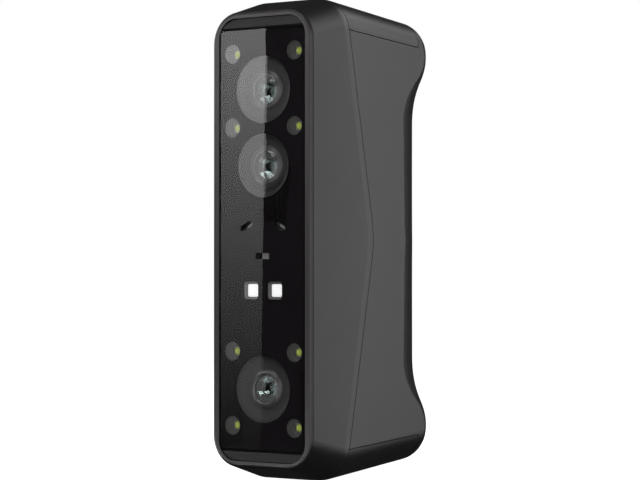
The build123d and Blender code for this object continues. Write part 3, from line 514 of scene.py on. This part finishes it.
def make_camera_optics(name, height, window):
    """One camera: dished baffle, coved ring, turned barrel, front lens, light trap, inner lens, iris.

    Profiles are in (depth, radius), and window is the radius of its round opening in the mask.
    """
    dish = [(1.12, window - 0.05), (1.12, window + 0.8), (4.5, window + 0.8), (4.5, 7.25), (2.95, 7.25)]
    dish += [(2.95, 7.6), (2.85, 8.4), (2.6, 9.4), (2.2, window - 1.1), (1.6, window - 0.35)]
    if name == "middle":
        ridges = []
        for step in range(5):
            forward, out = 0.06 * step, 0.42 * step
            ridges += [(3.0 - forward, 7.7 + out), (2.7 - forward, 7.85 + out)]
        dish = dish[:5] + ridges + [(2.2, window - 0.7), (1.6, window - 0.3)]
    obj = piece(f"{name}_dished_baffle", *turned(dish, 0, height), baffle_plastic, "baffle_plastic", sharp=50)
    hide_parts(f"{name}_camera_baffle")

    cove = arc((1.95, 5.0), 0.6, 80, 10, 8)
    ring = [(3.3, 5.8), (2.15, 5.8)] + cove + [(3.3, 5.0)]
    piece(f"{name}_retaining_ring", *turned(ring, 0, height), ring_black, "lens_black", sharp=40)
    barrel = [(2.9, 7.2), (2.5, 6.8), (2.25, 5.82), (3.32, 5.82), (3.32, 5.0), (4.2, 4.95), (9.4, 4.95)]
    barrel += [(9.4, 4.4), (22.0, 4.4), (22.0, 6.0), (12.0, 6.0), (12.0, 7.0)]
    obj = piece(f"{name}_turned_barrel", *turned(barrel, 0, height), lens_black, "lens_black", sharp=40)
    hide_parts(f"{name}_lens_barrel")

    front = [(2.2, 0.0), (2.28, 1.2), (2.5, 2.5), (2.9, 3.8), (3.2, 4.9), (2.9, 5.0)] + dome(1.62, 5.0, 10.2)
    obj = piece(f"{name}_lens_dome", *turned(front, 0, height, closed=False), dome_glass, "lens_glass")
    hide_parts(f"{name}_front_lens")

    cone = [(3.5, 4.9), (3.6, 4.2), (3.9, 4.1), (4.0, 3.5), (4.3, 3.4), (4.4, 2.8), (4.9, 2.65)]
    trap = cone + [(5.0, 2.3), (8.6, 2.3), (8.6, 4.9)]
    piece(f"{name}_light_trap", *turned(trap, 0, height), trap_grey, "lens_black", sharp=25)
    inner = [(5.35, 0.0), (5.5, 1.2), (5.9, 2.28)] + dome(4.6, 2.28, 3.4)
    piece(f"{name}_inner_lens", *turned(inner, 0, height, closed=False), inner_glass, "lens_glass")
    iris = [(6.6, 2.28), (6.9, 1.0), (7.05, 0.95), (7.1, 1.0), (7.0, 2.28)]
    piece(f"{name}_iris", *turned(iris, 0, height), iris_black, "lens_black")


# ---------------------------------------------------------------- lamps, slits and projectors
# Millimetres to each side, above mid-height, or behind the front face
LAMP_X = 13.76
LAMP_HEIGHTS = (66.6, 40.0)
LAMP_BOARD_FRONT = 5.0
LASER_X = 7.3
LASER_HEIGHT = 4.7
SLIT_ANGLE = 30
SENSOR_HEIGHT = -6.0
EYE_X = 1.3
PROJECTOR_X = 5.3
PROJECTOR_HEIGHT = -18.2


def small_turned(profile, x, z, steps, squeeze=1.0):
    """An open profile that starts and ends on its axis, turned with fewer steps."""
    return turned(profile, x, z, closed=False, steps=steps, squeeze=squeeze)


def make_lamps(name, side):
    """Four lamps: package with a cup, phosphor cushion, silicone dome, two pads and a frosted film."""
    cushion = [(3.95, 0.0), (3.95, 1.28), (3.75, 1.2), (3.6, 1.0), (3.5, 0.6), (3.47, 0.0)]
    cap = [(3.5, 0.0), (3.55, 1.0), (3.8, 1.42), (3.7, 1.5)] + dome(2.35, 1.5, 1.62, 10)
    disc = [(1.15, 0.0), (1.15, 3.3), (1.2, 3.36), (1.3, 3.36), (1.3, 0.0)]
    bodies, cushions, domes, pads, films = [], [], [], [], []
    for x in (-LAMP_X, LAMP_X):
        for level in LAMP_HEIGHTS:
            z = side * level
            body = rounded_outline(x, z, 3.0, 3.0, 0.25)
            cup = rounded_outline(x, z, 2.3, 2.6, 1.1)
            bodies.append(plate(body, 3.9, LAMP_BOARD_FRONT, cup))
            cushions.append(small_turned(cushion, x, z, 32, squeeze=0.86))
            domes.append(small_turned(cap, x, z, 32))
            films.append(small_turned(disc, x, z, 48))
            for end in (-1, 1):
                pad = rounded_outline(x, z + end * 1.9, 1.6, 0.7, 0.1)
                pads.append(plate(pad, LAMP_BOARD_FRONT - 0.1, LAMP_BOARD_FRONT))
    obj = piece(f"{name}_lamp_cushions", *join(*cushions), phosphor, "lamp_phosphor")
    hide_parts(f"{name}_lamps")
    piece(f"{name}_lamp_packages", *join(*bodies), chip_grey, "diffuser_white", rounding=0.08)
    piece(f"{name}_lamp_domes", *join(*domes), dome_glass, "lens_glass")
    piece(f"{name}_lamp_pads", *join(*pads), steel, "steel", rounding=0.03)
    piece(f"{name}_lamp_films", *join(*films), film, "window_glass")


def make_projector(name, x):
    """Infrared projector: a housing with a square funnel in its face, and the opal window in it."""
    rim = [(4.95, 6.1, 1.1), (1.2, 6.4, 1.2), (1.14, 6.3, 1.2), (1.2, 6.15, 1.1)]
    body = stacked(rim + [(2.0, 4.55, 0.6), (4.95, 4.55, 0.6)], x, PROJECTOR_HEIGHT, ring=True)
    obj = piece(f"{name}_projector_funnel", *body, funnel_grey, "baffle_plastic", sharp=25)
    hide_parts(f"{name}_projector")
    opal = [(3.6, 4.5, 0.5), (2.3, 4.5, 0.5), (2.1, 4.4, 0.5), (2.04, 4.1, 0.5)]
    window = stacked(opal, x, PROJECTOR_HEIGHT, ring=False)
    obj = piece(f"{name}_opal_window", *window, diffuser, "diffuser_white")
    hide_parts(f"{name}_diffuser")


def make_line_optics():
    """The two fan lenses behind the slits, in their slotted seats, and the range sensor."""
    prisms, seats = [], []
    for side in (-1, 1):
        turn = -side * SLIT_ANGLE
        seat = rounded_outline(side * LASER_X, LASER_HEIGHT, 5.6, 3.2, 0.5, turn)
        prism = rounded_outline(side * LASER_X, LASER_HEIGHT, 3.2, 1.8, 0.5, turn)
        seats.append(plate(seat, 4.3, 5.6, prism))
        prisms.append(plate(prism, 3.2, 5.55))
    obj = piece("fan_lenses", *join(*prisms), chip_grey, "lens_glass", rounding=0.3)
    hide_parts("line_lenses")
    piece("fan_lens_seats", *join(*seats), lens_black, "brass", rounding=0.1)
    case = rounded_outline(0, SENSOR_HEIGHT, 5.4, 2.8, 0.2)
    face = rounded_outline(0, SENSOR_HEIGHT, 5.2, 2.6, 0.2)
    body = join(plate(case, 4.1, 5.0, face), plate(face, 4.15, 5.0))
    obj = piece("range_sensor_case", *body, lens_seat, "chip_black", rounding=0.05)
    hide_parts("range_sensor")
    eye = [(4.2, 0.0), (4.2, 0.55), (4.06, 0.5), (4.02, 0.3), (4.01, 0.0)]
    eyes = [small_turned(eye, x, SENSOR_HEIGHT, 24) for x in (-EYE_X, EYE_X)]
    piece("range_sensor_eyes", *join(*eyes), inner_glass, "lens_glass")


# The cover glass in its pocket
GLASS_WIDTH = 37.6
GLASS_HEIGHT = 150.8


def make_window_seal():
    """Matt black rubber lip that laps over the edge of the glass all round."""
    outer = rounded_outline(0, 0, GLASS_WIDTH + 0.15, GLASS_HEIGHT + 0.15, 1.65)
    inner = rounded_outline(0, 0, GLASS_WIDTH - 0.5, GLASS_HEIGHT - 1.1, 1.3)
    piece("window_seal_lip", *plate(outer, 0.06, 0.4, inner), seal_black, "gasket_rubber", rounding=0.06)


# ---------------------------------------------------------------- back and bottom
# Millimetres above mid-height
BUTTON_HEIGHTS = {"scan": 11.0, "plus": -6.0, "minus": -18.0}


def button_top(name):
    """Depth of a button's outer face, in millimetres."""
    return (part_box(f"{name}_button")[1].y - front_y) / MM


def make_button_marks():
    """Generic raised marks: a ring on the scan button, a plus and a minus on the small ones."""
    high = button_top("scan")
    ring = [(high - 0.35, 2.9), (high + 0.05, 2.85), (high + 0.05, 2.35), (high - 0.35, 2.3)]
    mark = turned(ring, 0, BUTTON_HEIGHTS["scan"])
    piece("scan_ring_mark", *mark, mark_white, "button_plastic", "scan_button", sharp=40)
    for name in ("plus", "minus"):
        z = BUTTON_HEIGHTS[name]
        high = button_top(name)
        bars = [plate(rounded_outline(0, z, 3.0, 0.6, 0.15), high + 0.04, high - 0.4)]
        if name == "plus":
            bars.append(plate(rounded_outline(0, z, 0.6, 3.0, 0.15), high + 0.045, high - 0.4))
        mark = join(*bars)
        piece(f"{name}_mark", *mark, mark_white, "button_plastic", f"{name}_button", rounding=0.04)


# The sloping bottom facet, and how far behind the front face its thread and its socket are
END_TAPER = 0.078
END_SLOPE = math.atan(END_TAPER)
END_RIDGE_DEPTH = 18.35
RIDGE_TRIM = 0.113
TRIPOD_DEPTH = 38
SOCKET_DEPTH = 58
# The brass insert and its 1/4 inch thread; starts and ends are measured into the casing
THREAD_PITCH = 1.27
THREAD_TURNS = 6.4
THREAD_START = 0.75
CREST_RADIUS = 2.56
THREAD_RISE = 0.55
INSERT_RADIUS = 4.75
INSERT_BACK = 8.95


def under(depth, x, along, inward):
    """World place measured on the sloping bottom facet: across, backwards and into the casing."""
    facet_height = END_TAPER * (depth - END_RIDGE_DEPTH) - RIDGE_TRIM
    start = Vector((0, front_y + depth * MM, facet_height * MM))
    back = Vector((0, math.cos(END_SLOPE), math.sin(END_SLOPE)))
    up = Vector((0, -math.sin(END_SLOPE), math.cos(END_SLOPE)))
    return start + (Vector((x, 0, 0)) + back * along + up * inward) * MM


def make_tripod_thread():
    """Brass insert with a real helical thread, a lead-in chamfer and a flat inner end."""
    steps, rows_per_turn = 64, 8
    rows = [(0.25, [INSERT_RADIUS] * steps), (0.2, [4.6] * steps), (0.2, [3.35] * steps)]
    for row in range(int(THREAD_TURNS * rows_per_turn) + 1):
        rounds = row / rows_per_turn
        phases = [(rounds + step / steps) % 1 for step in range(steps)]
        radii = [CREST_RADIUS + THREAD_RISE * abs(2 * phase - 1) for phase in phases]
        rows.append((THREAD_START + THREAD_PITCH * rounds, radii))
    rows += [(INSERT_BACK, [3.0] * steps), (INSERT_BACK, [INSERT_RADIUS] * steps)]
    verts, faces = [], []
    for inward, radii in rows:
        for step, radius in enumerate(radii):
            turn = 2 * math.pi * step / steps
            verts.append(under(TRIPOD_DEPTH, radius * math.cos(turn), radius * math.sin(turn), inward))
    for row in range(len(rows)):
        first, second = row * steps, (row + 1) % len(rows) * steps
        for step in range(steps):
            after = (step + 1) % steps
            faces.append([first + step, first + after, second + after, second + step])
    obj = piece("threaded_insert", verts, faces, brass, "brass", sharp=60)
    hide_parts("tripod_insert")


def make_socket_contacts():
    """Gold contact pads on both faces of the socket's tongue."""
    box_faces = ((0, 1, 2, 3), (4, 5, 6, 7), (0, 1, 5, 4), (1, 2, 6, 5), (2, 3, 7, 6), (3, 0, 4, 7))
    corners = ((-0.14, 0.33), (0.14, 0.33), (0.14, 0.39), (-0.14, 0.39))
    row_width, count = 5.2, 8
    pads = []
    for side in (-1, 1):
        for pad in range(count):
            x = -row_width / 2 + pad * row_width / (count - 1)
            verts = []
            for inward in (1.9, 5.4):
                verts += [under(SOCKET_DEPTH, x + across, side * along, inward) for across, along in corners]
            pads.append((verts, box_faces))
    piece("socket_contacts", *join(*pads), gold, "brass", rounding=0.02)


# ---------------------------------------------------------------- studio
def area_light(name, place, size, energy):
    """White rectangular light that faces the middle of the scanner and isn't seen itself."""
    data = bpy.data.lights.new(name, "AREA")
    data.shape = "RECTANGLE"
    data.size, data.size_y = size
    data.energy = energy
    light = bpy.data.objects.new(name, data)
    scene.collection.objects.link(light)
    light.location = place
    light.rotation_mode = "QUATERNION"
    light.rotation_quaternion = (Vector((0, 0, mid_z)) - Vector(place)).to_track_quat("-Z", "Y")
    light.visible_camera = False


def stage_sheet(name, corners, material):
    """A four-cornered sheet that belongs to the studio, not to the scanner."""
    mesh = bpy.data.meshes.new(name)
    mesh.from_pydata(corners, [], [(0, 1, 2, 3)])
    mesh.materials.append(material)
    sheet = bpy.data.objects.new(name, mesh)
    scene.collection.objects.link(sheet)
    return sheet


def make_floor():
    """Pale floor that reads as white paper and doesn't light the scanner."""
    paint = Paint("studio_floor")
    paint.feed(Base_Color=paint.colours(paint.noise(4, 2), (0.80, 0.80, 0.80), (0.83, 0.83, 0.83)))
    paint.set(Roughness=0.9, Emission_Color=(1.0, 1.0, 1.0), Emission_Strength=1.0)
    reach = 12
    corners = [(-reach, -reach, 0), (reach, -reach, 0), (reach, reach, 0), (-reach, reach, 0)]
    floor = stage_sheet("studio_floor", corners, paint.material)
    floor.visible_diffuse = False
    floor.visible_glossy = False


def make_reflection_card():
    """Tall soft panel at the front left, brighter towards its top, that shows in the glass."""
    paint = Paint("reflection_card")
    split = paint.node("ShaderNodeSeparateXYZ")
    paint.link(paint.coords, split.inputs["Vector"])
    rise = paint.ramp(split.outputs["Z"], 0, 1, mid_z - 0.11, mid_z + 0.105)
    glow = paint.node("ShaderNodeEmission")
    paint.link(paint.ramp(paint.maths("POWER", rise, 1.6), 0.12, 5.6), glow.inputs["Strength"])
    paint.surface(glow.outputs["Emission"])
    outer, inner_low, inner_top = -0.27, -0.1933, -0.1880
    low, high = mid_z - 0.16, mid_z + 0.17
    y = front_y - 0.25
    corners = [(outer, y, low), (inner_low, y, low), (inner_top, y, high), (outer, y, high)]
    card = stage_sheet("reflection_card", corners, paint.material)
    card.visible_camera = False
    card.visible_diffuse = False
    card.visible_shadow = False


def make_world():
    """White to the camera, a dim soft fill for the object."""
    world = bpy.data.worlds.new("studio")
    scene.world = world
    world.use_nodes = True
    tree = world.node_tree
    background = tree.nodes["Background"]
    background.inputs["Color"].default_value = (1, 1, 1, 1)
    background.inputs["Strength"].default_value = 0.03
    white = tree.nodes.new("ShaderNodeBackground")
    white.inputs["Color"].default_value = (1, 1, 1, 1)
    white.inputs["Strength"].default_value = 1.0
    path = tree.nodes.new("ShaderNodeLightPath")
    mix = tree.nodes.new("ShaderNodeMixShader")
    tree.links.new(path.outputs["Is Camera Ray"], mix.inputs["Fac"])
    tree.links.new(background.outputs["Background"], mix.inputs[1])
    tree.links.new(white.outputs["Background"], mix.inputs[2])
    tree.links.new(mix.outputs["Shader"], tree.nodes["World Output"].inputs["Surface"])


def make_lights():
    """Soft panels, most of them in front and to the right, as the photo's tones ask for."""
    area_light("right_softbox", (0.62, 0.785, mid_z + 0.18), (0.3, 1.0), 2.9)
    area_light("high_back_panel", (0.26, 0.78, mid_z + 0.66), (0.42, 0.25), 0.95)
    area_light("upper_left_panel", (-0.59, -0.25, mid_z + 0.78), (0.5, 0.5), 0.45)
    area_light("top_edge_light", (0.42, 0.80, mid_z + 0.45), (0.2, 0.16), 0.25)
    area_light("front_panel", (0.10, -1.0, mid_z - 0.12), (0.45, 0.9), 3.0)
    area_light("camera_side_panel", (0.73, -0.77, mid_z + 0.18), (0.85, 0.9), 4.3)
    area_light("side_panel", (0.98, -0.10, mid_z + 0.05), (0.6, 0.8), 2.4)
    area_light("front_softbox", (-0.10, -0.75, mid_z + 0.70), (0.32, 0.32), 1.8)
    area_light("left_spot", (-0.96, -0.16, mid_z + 0.24), (0.07, 0.07), 1.0)
    area_light("upper_front_panel", (-0.40, front_y - 0.42, mid_z + 0.20), (0.6, 0.10), 0.5)
    area_light("lower_front_panel", (-0.40, front_y - 0.42, mid_z - 0.19), (0.6, 0.10), 2.0)


make_camera()
paint_cad_nodes()
for camera_name, (camera_height, camera_window) in CAMERAS.items():
    make_camera_optics(camera_name, camera_height, camera_window)
make_lamps("upper", 1)
make_lamps("lower", -1)
make_projector("left", -PROJECTOR_X)
make_projector("right", PROJECTOR_X)
make_line_optics()
make_window_seal()
make_button_marks()
make_tripod_thread()
make_socket_contacts()
make_floor()
make_reflection_card()
make_world()
make_lights()
scene.view_settings.view_transform = "Standard"
scene.view_settings.look = "None"
